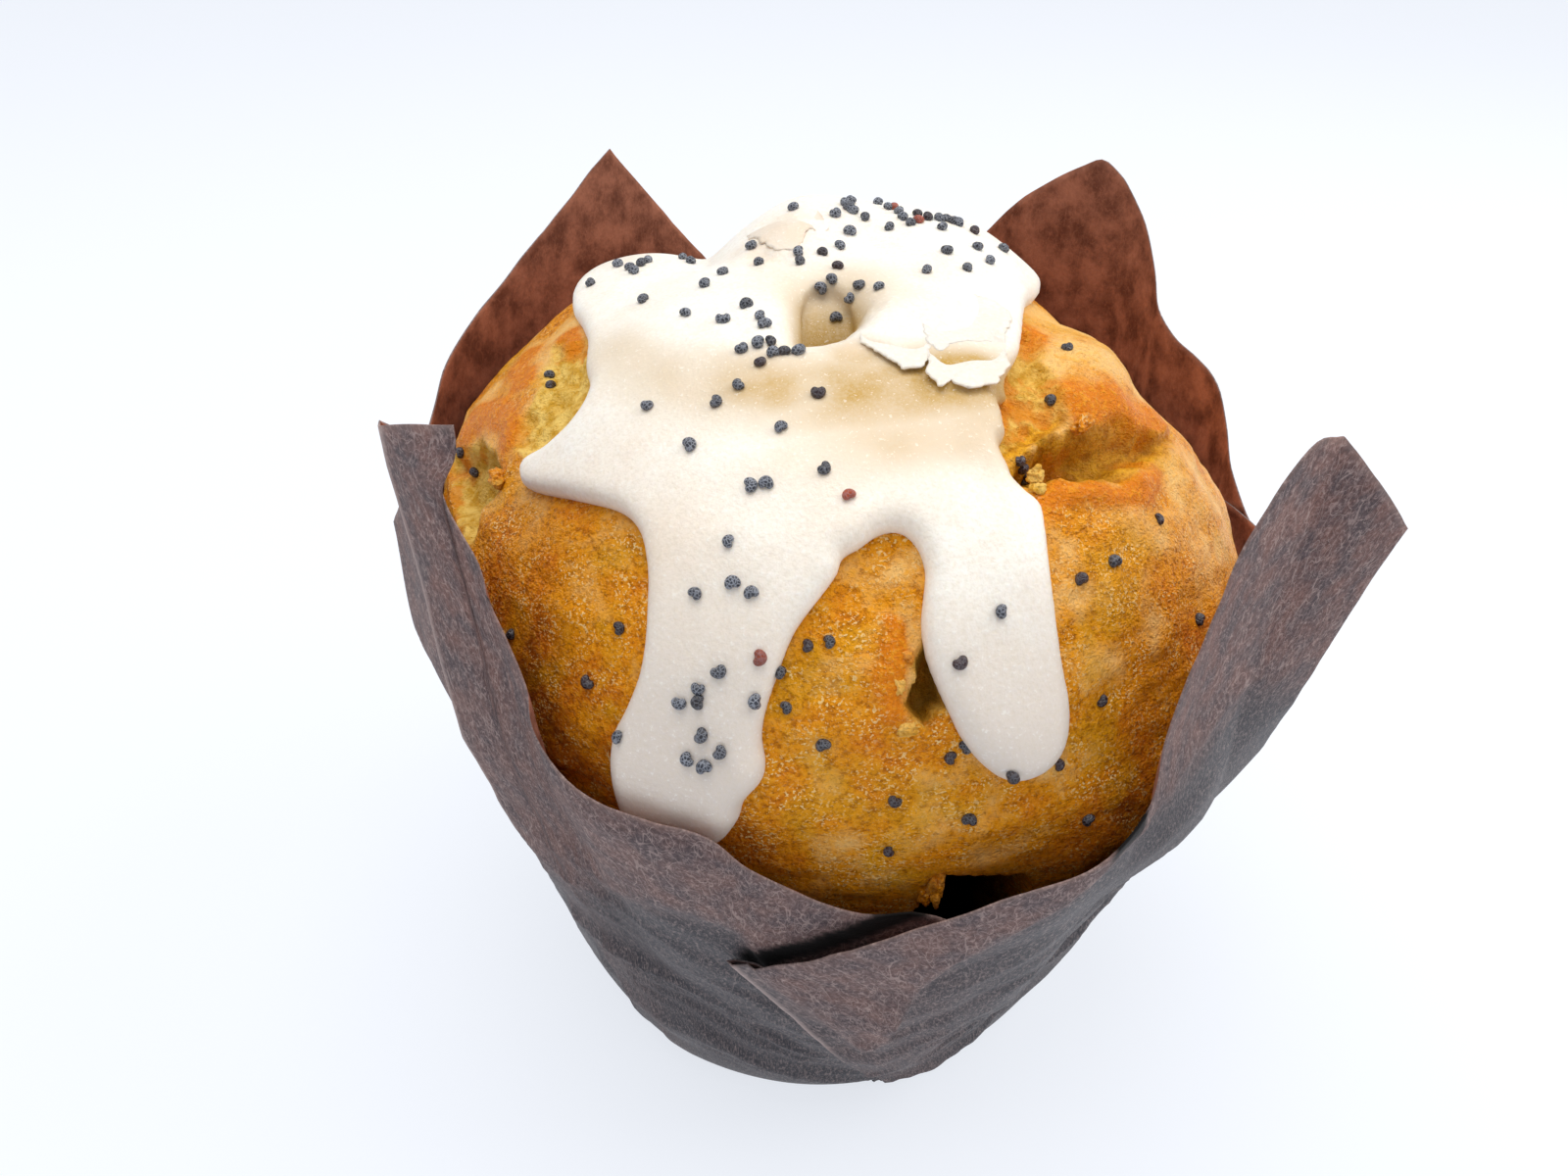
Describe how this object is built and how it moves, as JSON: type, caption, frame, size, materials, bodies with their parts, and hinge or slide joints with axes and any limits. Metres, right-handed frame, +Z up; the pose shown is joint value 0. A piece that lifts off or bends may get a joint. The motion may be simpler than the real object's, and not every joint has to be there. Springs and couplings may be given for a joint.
{
  "type": "iced muffin in a paper case",
  "caption": "Domed cake with thick white icing that runs down in drips, scattered dark seeds and a folded tulip-shaped paper case.",
  "frame": {"origin": "centre of the flat base of the paper case", "axes": "+Z up, -Y towards the front with the two drips and the folded flap, +X to the right"},
  "size_m": [0.0822, 0.0837, 0.0776],
  "materials": {
    "cake": "matt baked crust",
    "icing": "satin sugar icing",
    "paper": "matt baking paper"
  },
  "bodies": {
    "root": {"muffin": "cake", "icing": "icing", "paper_case": "paper"}
  },
  "joints": []
}
